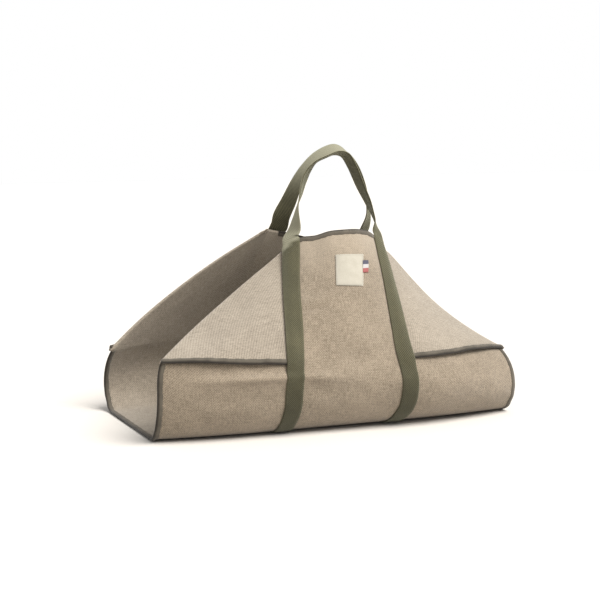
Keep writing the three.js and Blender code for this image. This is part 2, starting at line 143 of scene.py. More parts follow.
# Dents and swellings: face, across, run, width in metres, height in runs, push outwards in metres.
dents = (
    (front, -0.072, 2.55, 0.020, 0.014, -0.0026),
    (front, -0.066, 2.60, 0.026, 0.030, 0.0016),
    (front, 0.000, 2.58, 0.085, 0.34, 0.0096),
    (front, 0.004, 2.22, 0.034, 0.070, -0.0036),
    (front, -0.056, 2.06, 0.036, 0.050, 0.0040),
    (front, -0.058, 1.90, 0.036, 0.060, -0.0024),
    (front, -0.180, 2.07, 0.075, 0.045, 0.0076),
    (front, -0.180, 1.84, 0.085, 0.090, -0.0030),
    (front, 0.205, 1.80, 0.080, 0.20, 0.0020),
    (back, 0.066, 2.50, 0.024, 0.020, -0.0024),
    (back, -0.010, 2.42, 0.046, 0.10, -0.0036),
    (back, 0.200, 2.05, 0.075, 0.050, 0.0032),
    (back, -0.195, 1.85, 0.080, 0.16, 0.0022),
)


# Three arrays of coordinates as one array of points.
def stackXyz(x, y, z):
    return np.stack(np.broadcast_arrays(x, y, z), axis=-1)


# Two arrays as floats of one shape.
def sameShape(first, second):
    return (np.array(values, float) for values in np.broadcast_arrays(first, second))


# Each vector over its own length.
def unit(vectors):
    return vectors / np.maximum(np.linalg.norm(vectors, axis=-1, keepdims=True), 1e-12)


# Vectors less their parts along unit vectors.
def squareTo(vectors, along):
    return vectors - along * (vectors * along).sum(axis=-1, keepdims=True)


# 3 s^2 - 2 s^3 of the share s of the way from low to high.
def smoothStep(value, low, high):
    share = np.clip((value - low) / (high - low), 0, 1)
    return share * share * (3 - 2 * share)


# 1 between two stretches, with a smooth step over each.
def between(value, start, end):
    return smoothStep(value, *start) * (1 - smoothStep(value, *end))


# The cubic with given ends and slopes: the sum of the four Hermite polynomials of t.
def hermite(first, leave, last, arrive, t):
    cube, square = t**3, t**2
    return (
        first * (2 * cube - 3 * square + 1)
        + leave * (cube - 2 * square + t)
        + last * (3 * square - 2 * cube)
        + arrive * (cube - square)
    )


# Share of the way out over a wing, from the strap's line to the side edge.
def wingShare(across):
    return np.clip((np.abs(across) - cloth["wingStart"]) / (cloth["half"] - cloth["wingStart"]), 0, 1)


# A section's value: straight between the straps, then with the square of the way out to the end.
def sectionValue(name, across, face):
    place = np.where(face < 0, across, -across)
    leftEnd, leftStrap, rightStrap, rightEnd = sections[name]
    share = np.clip((place + strap["centre"]) / (2 * strap["centre"]), 0, 1)
    middle = leftStrap + (rightStrap - leftStrap) * share
    return middle + (np.where(place < 0, leftEnd, rightEnd) - middle) * wingShare(place) ** 2


# A corner's value, picked by side and face.
def cornerValue(name, side, face):
    return np.array(corners[name])[np.where(face < 0, 0, 2) + np.where(side < 0, 0, 1)]


# A quarter ellipse from the flat bottom up to the belly.
def bendPoint(across, share, face):
    angle = share * math.pi / 2
    floor = sectionValue("floor", across, face)
    depth = floor + (sectionValue("belly", across, face) - floor) * np.sin(angle)
    height = cloth["floorZ"] + sectionValue("bellyZ", across, face) * (1 - np.cos(angle))
    return stackXyz(across, face * depth, height)


# The hem: a cosine bulge in depth; in height a tilt, a drop with the fourth power and a Gaussian dip.
def hemPoint(across, face):
    pick = {name: np.where(face < 0, *values) for name, values in hems.items()}
    share = across / cloth["wingStart"]
    depth = pick["y"] + pick["bulge"] * np.cos(math.pi / 2 * share)
    height = pick["z"] + pick["tilt"] * share - pick["drop"] * share**4
    height = height - pick["dip"] * np.exp(-(((share - pick["dipAt"]) / pick["dipWide"]) ** 2))
    return stackXyz(pick["sway"] + pick["gather"] * across, face * depth, height)


# Middle panel: a cubic that leaves the belly upright and leans in to the hem.
def panelPoint(across, place, face):
    share = (np.clip(place, 0, 1) ** sectionValue("ease", across, face))[..., None]
    belly = bendPoint(across, np.ones_like(across), face)
    hem = hemPoint(across, face)
    rise = sectionValue("rise", across, face)
    return hermite(belly, stackXyz(0 * rise, 0 * rise, rise), hem, hem - belly, share)


# Side edge: up to the shoulder corner by the cube, square and first power of the way in x, y and z. Then the
# fold: a line to the strap with a parabola of sag, and a quartic hold near the strap.
def outerPoint(place, side, face):
    pick = {name: cornerValue(name, side, face) for name in corners}
    turn = stackXyz(side * pick["x"], face * pick["y"], pick["z"])
    sag = stackXyz(0 * place, -face * pick["sagIn"], -pick["sagDown"])
    hold = stackXyz(0 * place, 0 * place, pick["hold"])
    low = np.clip(place / cloth["shoulder"], 0, 1)[..., None]
    belly = bendPoint(side * cloth["half"], np.ones_like(place), face)
    edge = belly + (turn - belly) * np.concatenate([low**3, low**2, low], axis=-1)
    high = np.clip((place - cloth["shoulder"]) / (1 - cloth["shoulder"]), 0, 1)[..., None]
    top = panelPoint(side * cloth["wingStart"], np.ones_like(place), face)
    top = top + stackXyz(side * cloth["foldStart"], 0 * place, 0 * place - cloth["foldStart"])
    fold = turn + (top - turn) * high + (sag * 4 * high + hold * high**3) * (1 - high)
    return np.where((place <= cloth["shoulder"])[..., None], edge, fold)


# The tape holds a shoulder corner out: a push with a high power of the way out, which fades with the cube of
# the way down the side and the square of the way up the fold.
def cornerFlare(out, place, side, face):
    push = stackXyz(side * cornerValue("flareOut", side, face), 0 * place, cornerValue("flareUp", side, face))
    below = np.clip(place / cloth["shoulder"], 0, 1) ** 3
    above = np.clip(1 - (place - cloth["shoulder"]) / cloth["flareRise"], 0, 1) ** 2
    return push * (below * above * out ** cloth["flarePower"])[..., None]


# Wing: straight from the strap's line to the edge, with a power low down that carries on the bottom's shape.
def wingPoint(across, place, face):
    side = np.where(across < 0, left, right)
    out = wingShare(across)
    line = panelPoint(side * cloth["wingStart"], place, face)
    edge = outerPoint(place, side, face)
    low = np.clip(1 - place / cloth["shoulder"], 0, 1)
    power = np.stack([out, out ** (2 - place), out ** (1 + low)], axis=-1)
    return line + (edge - line) * power + cornerFlare(out, place, side, face)


# The cloth's middle without dents, put together from the flat bottom, the bends, the panels and the wings.
def clothBase(across, run):
    across, run = sameShape(across, run)
    face = np.where(run < 0, front, back)
    stage = np.abs(run)
    depth = np.clip(stage, 0, 1) * sectionValue("floor", across, face)
    flat = stackXyz(across, face * depth, cloth["floorZ"])
    bend = bendPoint(across, np.clip(stage - 1, 0, 1), face)
    place = np.clip(stage - 2, 0, 1)
    inside = (np.abs(across) <= cloth["wingStart"])[..., None]
    wall = np.where(inside, panelPoint(across, place, face), wingPoint(across, place, face))
    return np.where((stage < 1)[..., None], flat, np.where((stage < 2)[..., None], bend, wall))


# Outward normal of a surface of across and run: the cross product of its two central differences.
def normalOf(surface, across, run, step=cloth["normalStep"]):
    across, run = sameShape(across, run)
    half, stepRun = cloth["half"], step * cloth["runsPerMetre"]
    alongX = surface(np.minimum(across + step, half), run) - surface(np.maximum(across - step, -half), run)
    alongRun = surface(across, np.minimum(run + stepRun, 3)) - surface(across, np.maximum(run - stepRun, -3))
    return unit(np.cross(alongRun, alongX))


# Push along the normal: a sum of Gaussian dents and slow sine waves, which fade out under the bottom and
# where the wings narrow.
def dentPush(across, run):
    face = np.where(run < 0, front, back)
    stage = np.abs(run)
    push = np.zeros(np.broadcast(across, run).shape)
    for dentFace, dentAcross, dentRun, wide, high, size in dents:
        away = ((across - dentAcross) / wide) ** 2 + ((stage - dentRun) / high) ** 2
        push = push + np.where(face == dentFace, size * np.exp(-away), 0)
    wave = np.sin(across * 41 + run * 3.1 + 0.6) * np.sin(run * 6.3 + across * 9 + face * 1.7)
    wave = wave + 0.6 * np.sin(across * 78 - run * 7.7 + face) * np.sin(run * 11 - across * 21 + 0.4)
    narrow = 1 - np.clip(stage - 2, 0, 1) * smoothStep(np.abs(across), *cloth["waveEnd"])
    return (push + cloth["waveSize"] * wave) * smoothStep(stage, *cloth["waveRuns"]) * narrow


# The cloth's middle: the base pushed along its own normal.
def clothPoint(across, run):
    across, run = sameShape(across, run)
    return clothBase(across, run) + normalOf(clothBase, across, run) * dentPush(across, run)[..., None]


# Points that stand a lift off the cloth's middle along its normal, and that normal.
def raised(across, run, lift, step=cloth["normalStep"]):
    normal = normalOf(clothPoint, across, run, step)
    return clothPoint(across, run) + normal * np.asarray(lift)[..., None], normal


# Distance from a wing to the corner folded over it: a line from strap to fold, and parabolas of swell, which
# are highest at its loose lower edge.
def flapLift(out, place):
    share = np.clip(out, 0, 1)
    lift = flap["liftStrap"] + (flap["liftFold"] - flap["liftStrap"]) * share
    loose = 1 - smoothStep(place, cloth["shoulder"], flap["looseTop"])
    belly = share * (1 - share) * 4 * np.clip(1 - place, 0, 1)
    ripple = 1 + 0.25 * np.sin(out * 11 + 0.8)
    return lift + loose * (flap["hemRoom"] + flap["puff"] * belly * ripple) + flap["swell"] * belly


# Folded corner: the wing's point moved along its normal. out is 1 at the fold, 0 at the strap, less under it.
def flapPoint(out, place, side, face):
    across = cloth["wingStart"] + np.maximum(out, 0) * (cloth["half"] - cloth["wingStart"])
    across = side * across + side * np.minimum(out, 0) * flap["unit"]
    return raised(across, face * (2 + np.asarray(place, float)), flapLift(out, place))[0]


# Mesh helpers

# Faces of a grid of point numbers, joined round at its end if it is closed.
def quadsOf(index, closed=False):
    if closed:
        index = np.concatenate([index, index[:, :1]], axis=1)
    return np.stack([index[:-1, :-1], index[1:, :-1], index[1:, 1:], index[:-1, 1:]], axis=-1).reshape(-1, 4)


# Volume inside closed faces, as a sum of signed tetrahedra: below 0 if they look inwards.
def signedVolume(points, faces):
    volume = 0.0
    for face in (faces[:, [0, 1, 2]], faces[:, [0, 2, 3]]):
        a, b, c = (points[face[:, corner]] for corner in range(3))
        volume += np.einsum("ij,ij->i", a, np.cross(b, c)).sum() / 6
    return volume


# Length along lines of points, counted from their first.
def arcLength(points, axis):
    step = np.linalg.norm(np.diff(points, axis=axis), axis=-1)
    start = np.zeros_like(np.take(step, [0], axis=axis))
    return np.concatenate([start, np.cumsum(step, axis=axis)], axis=axis)


# Two coordinates as one list of map points.
def mapOf(u, v):
    return np.stack(np.broadcast_arrays(u, v), axis=-1).reshape(-1, 2)


# A smooth mesh at the origin, with its map and with sharp edges over an angle.
def makePiece(name, points, faces, uv=None, sharp=None):
    mesh = bpy.data.meshes.new(name)
    mesh.from_pydata(points.reshape(-1, 3).tolist(), [], faces)
    mesh.polygons.foreach_set("use_smooth", np.ones(len(mesh.polygons), bool))
    if uv is not None:
        corner = np.zeros(len(mesh.loops), np.int32)
        mesh.loops.foreach_get("vertex_index", corner)
        layer = mesh.uv_layers.new(name="weave")
        layer.data.foreach_set("uv", uv[corner].astype(np.float32).ravel())
    if sharp is not None:
        mesh.set_sharp_from_angle(angle=math.radians(sharp))
    mesh.update()
    piece = bpy.data.objects.new(name, mesh)
    bpy.context.scene.collection.objects.link(piece)
    return piece


# A sheet from a grid of points, turned over if asked.
def makeGrid(name, points, uv=None, turned=False):
    quads = quadsOf(np.arange(points[..., 0].size).reshape(points.shape[:2]))
    return makePiece(name, points, (quads[:, ::-1] if turned else quads).tolist(), uv)


# A wall about a sheet's middle.
def thicken(piece, wall):
    solid = piece.modifiers.new("wall", "SOLIDIFY")
    solid.thickness = wall
    solid.offset = 0
    solid.use_even_offset = False
    return solid


# A value for each point, which a material reads by its name.
def spread(piece, name, values):
    layer = piece.data.attributes.new(name, "FLOAT", "POINT")
    layer.data.foreach_set("value", values.astype(np.float32).ravel())


# A closed profile carried along a path, with a flat cap at each end: rings is stations by profile points.
# Its map gives the way round the profile and the way along the path, in metres.
def makeSweep(name, rings, uAcross=None, sharp=50):
    stations, size = rings.shape[:2]
    index = np.arange(stations * size).reshape(stations, size)
    quads = quadsOf(index, closed=True)
    caps = [index[0].tolist(), index[-1][::-1].tolist()]
    if signedVolume(rings.reshape(-1, 3), quads) < 0:
        quads = quads[:, ::-1]
    else:
        caps = [cap[::-1] for cap in caps]
    if uAcross is None:
        uAcross = arcLength(rings[stations // 2], 0)
    uv = mapOf(uAcross[None, :], arcLength(rings.mean(axis=1), 0)[:, None])
    return makePiece(name, rings, [*quads.tolist(), *caps], uv, sharp)


# Canvas: the panel's grid, with a rolled fold and a flap joined on at each corner

# Even steps from stop to stop, with a number of cells for each stretch.
def evenSteps(stops, cells):
    parts = [np.linspace(low, high, count + 1)[1:] for low, high, count in zip(stops, stops[1:], cells)]
    return np.concatenate([stops[:1], *parts])


# Rows of a flap from shoulder to hem: half a turn round the fold, then back over the wing to under the strap.
def flapGrid(places, side, face):
    run = face * (2 + places)[:, None]
    edge = np.full_like(run, side * cloth["half"])
    tip, normal = raised(edge, run, 0 * run)
    outward = unit(tip - clothPoint(edge - side * flap["rollStep"], run))
    outward = unit(squareTo(outward, normal))
    radius = flapLift(np.ones_like(run), places[:, None])[..., None] / 2
    angle = np.radians(np.linspace(-90, 90, flap["rollCells"] + 1)[1:-1])[None, :, None]
    roll = tip + normal * radius * (1 + np.sin(angle)) + outward * radius * np.cos(angle)
    under = np.linspace(0, -flap["tuck"] / flap["unit"], flap["tuckCells"] + 1)[1:]
    out = np.concatenate([np.linspace(1, 0, flap["cells"] + 1), under])
    return np.concatenate([roll, flapPoint(out[None, :], places[:, None], side, face)], axis=1)


# One mesh of the panel's grid and the four flaps, mapped by length from the middle of the bottom. A painted
# highlight
# sets how pale a point is: it rises to the hems, where the panel leans back to the light, and is a Gaussian
# along each fold.
def buildCanvas():
    half, wing, start = cloth["half"], cloth["wingStart"], 2 + cloth["shoulder"]
    across = evenSteps((-half, -wing, wing, half), cloth["acrossCells"])
    runs = evenSteps((0, 1, 2, start, 3), cloth["runCells"])
    runs = np.concatenate([-runs[:0:-1], runs])
    grid = clothPoint(across[None, :], runs[:, None])
    index = np.arange(runs.size * across.size).reshape(runs.size, across.size)
    mapU, mapV = arcLength(grid, 1), arcLength(grid, 0)
    mapU = mapU - mapU[:, across.size // 2][:, None]
    mapV = mapV - mapV[runs.size // 2]
    points, faces, maps = [grid.reshape(-1, 3)], [quadsOf(index)], [mapOf(mapU, mapV)]
    # Painted highlight: paler towards the hems, and along each fold's edge below.
    paintedLight = cloth["hemHighlight"] * smoothStep(np.abs(runs), cloth["hemHighlightRun"], 3.0)
    paintedHighlight = [np.repeat(paintedLight, across.size)]
    total = index.size
    for face, side in ((front, left), (front, right), (back, left), (back, right)):
        rows = np.flatnonzero(face * runs >= start - 1e-9)[:: int(face)]
        sheet = flapGrid(np.abs(runs[rows]) - 2, side, face)
        column = 0 if side == left else -1
        edge = index[rows, column]
        new = total + np.arange(sheet[..., 0].size).reshape(sheet.shape[:2])
        quads = quadsOf(np.concatenate([edge[:, None], new], axis=1))
        faces.append(quads if side * face > 0 else quads[:, ::-1])
        reach = arcLength(np.concatenate([grid[rows, column][:, None], sheet], axis=1), 1)[:, 1:]
        maps.append(mapOf(mapU[rows, column][:, None] + side * reach, mapV[rows, column][:, None]))
        foldHighlight = cornerValue("foldHighlight", side, face)
        paintedHighlight.append(foldHighlight * np.exp(-((reach / cloth["foldHighlightWidth"]) ** 2)).ravel())
        paintedHighlight[0][edge] = foldHighlight
        points.append(sheet.reshape(-1, 3))
        total += new.size
    piece = makePiece("canvas", np.concatenate(points), np.concatenate(faces).tolist(), np.concatenate(maps))
    spread(piece, "paintedHighlight", np.concatenate(paintedHighlight))
    thicken(piece, cloth["wall"]).material_offset = 1
    return piece


canvas = buildCanvas()
print("canvas:", len(canvas.data.polygons), "faces")


# Webbing

# Its section, as offsets from its middle and heights over its underside: a flat bar with rounded edges.
def webbingProfile():
    half, thick, bend, count = strap["half"], strap["thick"], strap["edgeRound"], strap["topPoints"]
    top = np.linspace(-half + bend, half - bend, count)
    across = np.concatenate([top, [half, half], top[::-1], [-half, -half]])
    height = np.concatenate([[thick] * count, [thick - bend, bend], [0] * count, [bend, thick - bend]])
    return across, height


# Height of the strap's underside over the cloth: it climbs onto the folded corner on its outer side.
def strapLift(offset, run, side):
    base = cloth["wall"] / 2 + strap["seat"]
    climb = smoothStep(np.abs(run), 2 + cloth["shoulder"] * strap["climbFrom"], 2 + cloth["shoulder"])
    outer = smoothStep(offset * side, -strap["half"], strap["half"] * strap["climbEdge"])
    under = flap["liftStrap"] + flap["hemRoom"] + cloth["wall"]
    return base + climb * (strap["climb"] + under * outer)


# Across from the strap's middle line, which wanders on the front. The offset is divided by the cloth's own
# stretch there, measured square to the strap, so that the webbing keeps its width.
def strapAcross(side, offset, run):
    offset, run = sameShape(offset, run)
    stage = np.abs(run)
    aside = between(stage, *strap["wanderLeft" if side == left else "wanderRight"])
    wander = -strap["wander"] * aside - strap["slip"] * between(stage, *strap["slipRuns"])
    middle = side * strap["centre"] + np.where(run < 0, wander, 0)
    stepRun, step = 0.02, cloth["normalStep"]
    near = np.clip(run, stepRun - 3, 3 - stepRun)
    along = unit(clothBase(middle, near + stepRun) - clothBase(middle, near - stepRun))
    wide = (clothBase(middle + step, near) - clothBase(middle - step, near)) / (2 * step)
    return middle + offset / np.linalg.norm(squareTo(wide, along), axis=-1)


# A point of a strap, and its normal. Webbing is stiff, so it takes the cloth's normal over a wider stretch.
def strapPoint(side, offset, run, height):
    lift = strapLift(offset, run, side) + height
    return raised(strapAcross(side, offset, run), run, lift, strap["stiffness"])


# The section carried to each run.
def strapRings(side, runs):
    offset, height = webbingProfile()
    return strapPoint(side, offset[None, :], runs[:, None], height[None, :])[0]


# A strap from hem to hem. The left one is painted paler below its front hem, down to a slanting crease:
# a painted highlight where the webbing tilts back to the light.
def buildStrap(name, side):
    offset, height = webbingProfile()
    rings = strapRings(side, np.linspace(-3, 3, strap["cells"] + 1))
    piece = makeSweep(name, rings, offset)
    # Painted highlight on the upper face, down to the crease.
    crease = strap["crease"] * (1 - offset / strap["half"]) / 2
    below = arcLength(rings.mean(axis=1), 0)
    paintedLight = smoothStep(crease[None, :] - below[:, None], *strap["creaseSoft"]) * (height > strap["thick"] / 2)
    spread(piece, "paintedLight", paintedLight if side == left else 0 * paintedLight)
    return piece


handle = {
    "lead": 0.010,  # how far it runs on in its strap's direction
    "creaseShare": 0.09,  # share of its length over which the crease at the hem runs out
    "cells": 150,
    "paintedLightFrom": (0.365, 0.425),  # heights between which its upper side is painted paler: a painted highlight where it faces up
    "legPaintedLight": {front: 0.9, back: 0.0},  # how pale its left leg is painted: a painted highlight where it tilts back to the light
    "legShare": (0.30, 0.42),  # shares of its length between which that runs out
    # From left to right: place, direction of the webbing's width in plan and its rise, in degrees.
    front: [
        (-0.042, -0.036, 0.324, -62, 12),
        (-0.036, -0.030, 0.346, -94, 4),
        (-0.032, -0.027, 0.364, -110, 1),
        (-0.025, -0.024, 0.383, -121, 0),
        (-0.018, -0.021, 0.404, -129, 0),
        (-0.008, -0.019, 0.423, -130, 1),
        (0.006, -0.019, 0.438, -121, 4),
        (0.027, -0.0175, 0.4475, -105, 12),
        (0.048, -0.0145, 0.4530, -95, 15),
        (0.063, -0.0135, 0.4490, -88, 14),
        (0.078, -0.0115, 0.4285, -84, 9),
        (0.093, -0.013, 0.395, -85, 4),
        (0.1045, -0.018, 0.369, -92, 2),
        (0.1105, -0.024, 0.350, -104, 3),
        (0.1145, -0.031, 0.330, -117, 6),
    ],
    back: [
        (-0.033, 0.042, 0.342, -38, 0),
        (-0.023, 0.034, 0.368, -52, 0),
        (-0.010, 0.027, 0.402, -70, -3),
        (0.003, 0.022, 0.426, -82, -8),
        (0.021, 0.017, 0.4455, -88, -16),
        (0.041, 0.011, 0.457, -90, -22),
        (0.058, 0.008, 0.4605, -90, -24),
        (0.075, 0.008, 0.454, -90, -20),
        (0.090, 0.009, 0.436, -90, -12),
        (0.106, 0.014, 0.408, -95, -4),
        (0.117, 0.019, 0.382, -102, 0),
        (0.124, 0.026, 0.357, -114, 0),
        (0.129, 0.034, 0.336, -132, 0),
    ],
}


# A centripetal Catmull-Rom curve through rows of values, read at shares from 0 to 1 that count rows evenly.
def smoothRows(rows, knots, shares):
    rows, knots = (np.concatenate([[2 * r[0] - r[1]], r, [2 * r[-1] - r[-2]]]) for r in (rows, knots))
    gaps = np.sqrt(np.linalg.norm(np.diff(knots, axis=0), axis=1))
    last = len(rows) - 4
    spot = np.clip(shares, 0, 1) * (last + 1)
    first = np.minimum(spot.astype(int), last)
    a, b, c, d = (rows[first + step] for step in range(4))
    gapA, gapB, gapC = (gaps[first + step][:, None] for step in range(3))
    leave = ((b - a) / gapA - (c - a) / (gapA + gapB) + (c - b) / gapB) * gapB
    arrive = ((c - b) / gapB - (d - b) / (gapB + gapC) + (d - c) / gapC) * gapB
    return hermite(b, leave, c, arrive, (spot - first)[:, None])


# The strap's section at a hem, and two rows for the handle's path: the section's middle and a step on the way
# that it leaves the cloth, each with its width's direction as turn and rise.
def strapEnd(face, side):
    before, ring = strapRings(side, np.array([face * cloth["belowHem"], face * 3.0]))
    middle = ring.mean(axis=0)
    along = unit(middle - before.mean(axis=0))
    offset, _ = webbingProfile()
    width = unit(ring[np.argmax(offset)] - ring[np.argmin(offset)]) * -side
    turn = math.degrees(math.atan2(width[1], width[0]))
    turn = turn - 360 if turn > 90 else turn
    rise = math.degrees(math.asin(width[2]))
    return ring, [*middle, turn, rise], [*(middle + along * handle["lead"]), turn, rise]


# A strap's end ring with its points in the order that lies closest to the handle's first or last ring.
def matchRing(ring, beside):
    plain = np.arange(len(ring))
    orders = [np.roll(order, shift) for order in (plain, plain[::-1]) for shift in plain]
    far = [np.linalg.norm(ring[order] - beside, axis=1).sum() for order in orders]
    return ring[orders[int(np.argmin(far))]]


# Flat webbing along the smooth path: its rings stand square to the path, except at the creases along the hem.
# Its painted highlight is the root of how far a face looks up, from the first of its heights on, and is set
# on a left leg.
def buildHandle(name, face):
    startRing, startFirst, startSecond = strapEnd(face, left)
    endRing, endFirst, endSecond = strapEnd(face, right)
    rows = np.array([startFirst, startSecond, *handle[face], endSecond, endFirst])
    shares = np.linspace(0, 1, handle["cells"] + 1)[1:-1]
    path = smoothRows(rows[:, :3], rows[:, :3], shares)
    turn, rise = np.radians(smoothRows(rows[:, 3:], rows[:, :3], shares)).T
    along = unit(np.gradient(path, axis=0))
    width = stackXyz(np.cos(turn) * np.cos(rise), np.sin(turn) * np.cos(rise), np.sin(rise))
    square = smoothStep(np.minimum(shares, 1 - shares), 0, handle["creaseShare"])[:, None]
    width = unit(width - along * square * (width * along).sum(axis=1, keepdims=True))
    thick = unit(np.cross(width, along))
    offset, height = webbingProfile()
    lift = height - strap["thick"] / 2
    rings = path[:, None] + width[:, None] * offset[None, :, None] + thick[:, None] * lift[None, :, None]
    first, last = matchRing(startRing, rings[0]), matchRing(endRing, rings[-1])
    piece = makeSweep(name, np.concatenate([first[None], rings, last[None]]), offset)
    # Painted highlight: paler on faces that look up high on the handle, and on the front handle's left leg.
    upward = thick[:, 2:] * np.sign(lift)[None, :]
    paintedLight = np.sqrt(np.clip(upward, 0, 1)) * smoothStep(path[:, 2:], *handle["paintedLightFrom"])
    outer = np.clip(np.sign(lift) * -np.sign(thick[0, 1]), 0, 1)
    leg = outer[None, :] * (1 - smoothStep(shares, *handle["legShare"]))[:, None]
    paintedLight = np.maximum(paintedLight, leg * handle["legPaintedLight"][face])
    spread(piece, "paintedLight", np.concatenate([paintedLight[:1], paintedLight, 0 * paintedLight[:1]]))
    return piece


webbing = {
    "strap_left": buildStrap("strapLeft", left),
    "strap_right": buildStrap("strapRight", right),
    "handle_front": buildHandle("handleFront", front),
    "handle_back": buildHandle("handleBack", back),
}
print("straps and handles done")


# Edge tape: a folded band that takes the cloth's edge

tape = {
    "bite": 0.0074,  # how far it reaches over the cloth
    "cornerTurn": (0.0020, 0.0013, 0.0007, 0.0002),  # steps down the side from a shoulder corner
    "cornerShare": (0.34, 0.62, 0.82, 0.95),  # of its bite at those steps
    "cornerRun": 0.04,  # runs that show the way down there
    "crown": 0.0009,  # how far its outer faces swell
    "wall": 0.0007,
    "clear": 0.0002,
    "wobble": 0.0004,
    "cells": 260,
    "shoulderCells": 70,
    "shoulderEnd": -0.12,  # under the strap
    "hemCells": 90,
    "noseCells": 6,
    "faceCells": 5,
    "inSide": 0.006,  # steps that show the way in from a side edge and from a flap's lower edge
    "inFlap": 0.03,
    "stitchInset": 0.0016,
}


# The band's section, outwards from the edge and up from the cloth's middle: a face that swells as a parabola,
# round the nose, the other face, and back inside.
def tapeProfile():
    inside = cloth["wall"] / 2 + tape["clear"]
    outside = inside + tape["wall"]
    angle = np.radians(np.linspace(90, -90, tape["noseCells"] + 1))
    nose = np.stack([np.cos(angle), np.sin(angle)], axis=-1)
    share = np.linspace(0, 1, tape["faceCells"] + 1)[:-1]
    reach = tape["bite"] * (share - 1)
    swell = outside + tape["crown"] * 4 * share * (1 - share)
    upper = np.stack([reach, swell], axis=-1)
    lower = np.stack([reach, -swell], axis=-1)[::-1]
    ends = [[-tape["bite"], -inside]], [[-tape["bite"], inside]]
    return np.concatenate([upper, nose * outside, lower, ends[0], nose[::-1] * inside, ends[1]])


# The section along an edge, square to it and away from the cloth, with a bite that wavers by two sines.
# Gives the piece and its two lines of stitches.
def buildTape(name, points, inward, narrow=1.0):
    along = unit(np.gradient(points, axis=0))
    outward = unit(squareTo(points - inward, along))
    normal = np.cross(along, outward)
    out, up = tapeProfile().T
    reach = arcLength(points, 0)
    sway = 1 + tape["wobble"] / tape["bite"] * (np.sin(reach * 260) + 0.7 * np.sin(reach * 611 + 1))
    out = np.where(out < 0, out * (sway * narrow)[:, None], out)
    rings = points[:, None] + outward[:, None] * out[..., None] + normal[:, None] * up[None, :, None]
    seam = cloth["wall"] / 2 + tape["clear"] + tape["wall"]
    inset = ((tape["stitchInset"] - tape["bite"]) * np.minimum(narrow, 1) * np.ones(len(points)))[:, None]
    lines = [(points + outward * inset + normal * seam * way, normal * way) for way in (-1, 1)]
    return makeSweep(name, rings, sharp=60), lines


# A side edge between its two shoulders: points on it and points a step in.
def sidePath(side):
    end = 2 + cloth["shoulder"]
    runs = np.linspace(-end, end, tape["cells"])
    edge = side * cloth["half"]
    return clothPoint(edge, runs), clothPoint(edge - side * tape["inSide"], runs)


# A flap's lower edge, with a few steps down the side before it where the bite narrows.
def shoulderPath(side, face):
    out = np.linspace(1.0, tape["shoulderEnd"], tape["shoulderCells"])
    low = cloth["shoulder"]
    edge, top = np.array([side * cloth["half"]]), 2 + low
    down = unit(clothPoint(edge, face * (top - tape["cornerRun"])) - clothPoint(edge, face * top))
    move = down * np.array(tape["cornerTurn"])[:, None]
    lines = (flapPoint(out, place, side, face) for place in (low, low + tape["inFlap"]))
    points, inward = (np.concatenate([line[:1] + move, line]) for line in lines)
    return points, inward, np.concatenate([tape["cornerShare"], np.ones_like(out)])


# A hem from strap to strap.
def hemPath(face):
    reach = cloth["wingStart"] - flap["tuck"]
    across = np.linspace(-reach, reach, tape["hemCells"])
    return clothPoint(across, face * 3.0), clothPoint(across, face * cloth["belowHem"])


tapes, tapeLines = {}, []
for node, name, path in (
    ("tape_left", "tapeLeft", sidePath(left)),
    ("tape_right", "tapeRight", sidePath(right)),
    ("tape_front_left", "tapeFrontLeft", shoulderPath(left, front)),
    ("tape_front_right", "tapeFrontRight", shoulderPath(right, front)),
    ("tape_back_left", "tapeBackLeft", shoulderPath(left, back)),
    ("tape_back_right", "tapeBackRight", shoulderPath(right, back)),
    ("tape_front_top", "tapeFrontTop", hemPath(front)),
    ("tape_back_top", "tapeBackTop", hemPath(back)),
):
    tapes[node], lines = buildTape(name, *path)
    tapeLines += lines
print("tapes done")


# Patch and ribbon on the front panel

patch = {
    # Corners as across and share of the wall: upper left, upper right, lower right, lower left.
    "corners": ((-0.0212, 0.836), (0.0402, 0.826), (0.0276, 0.631), (-0.0256, 0.655)),
    "wall": 0.0007,
    "seat": 0.0005,
    "cells": 40,
    "crown": 0.0006,
    "fray": 0.006,  # share of its size that its edges run in and out
    "stitchInset": 0.0022,
    "stitchLift": 0.0005,
    "seamPoints": 60,
}
ribbon = {
    "low": 0.710,  # shares of the wall
    "high": 0.784,
    "length": 0.0145,
    "tuck": 0.002,  # how far it starts inside the patch's edge
    "wall": 0.0005,
    "seat": 0.0007,
    "loop": 0.0012,
    "wave": 0.0004,
    "cells": 24,
    "rows": 12,
}


# A four-cornered sheet laid on the panel, bilinear between its corners: points and normals.
def patchSurface(u, v, lift):
    upLeft, upRight, lowRight, lowLeft = np.array(patch["corners"])
    u, v = (share[..., None] for share in sameShape(u, v))
    spot = (lowLeft * (1 - u) + lowRight * u) * (1 - v) + (upLeft * (1 - u) + upRight * u) * v
    return raised(spot[..., 0], -(2 + spot[..., 1]), lift)


# How far an edge runs out: a sum of two sines along it, which fades with the sixth power of the way in.
def frayed(along, across):
    wave = np.sin(along * 71 + across * 3) + 0.6 * np.sin(along * 133 + 1.3)
    return patch["fray"] * wave * np.abs(2 * across - 1) ** 6


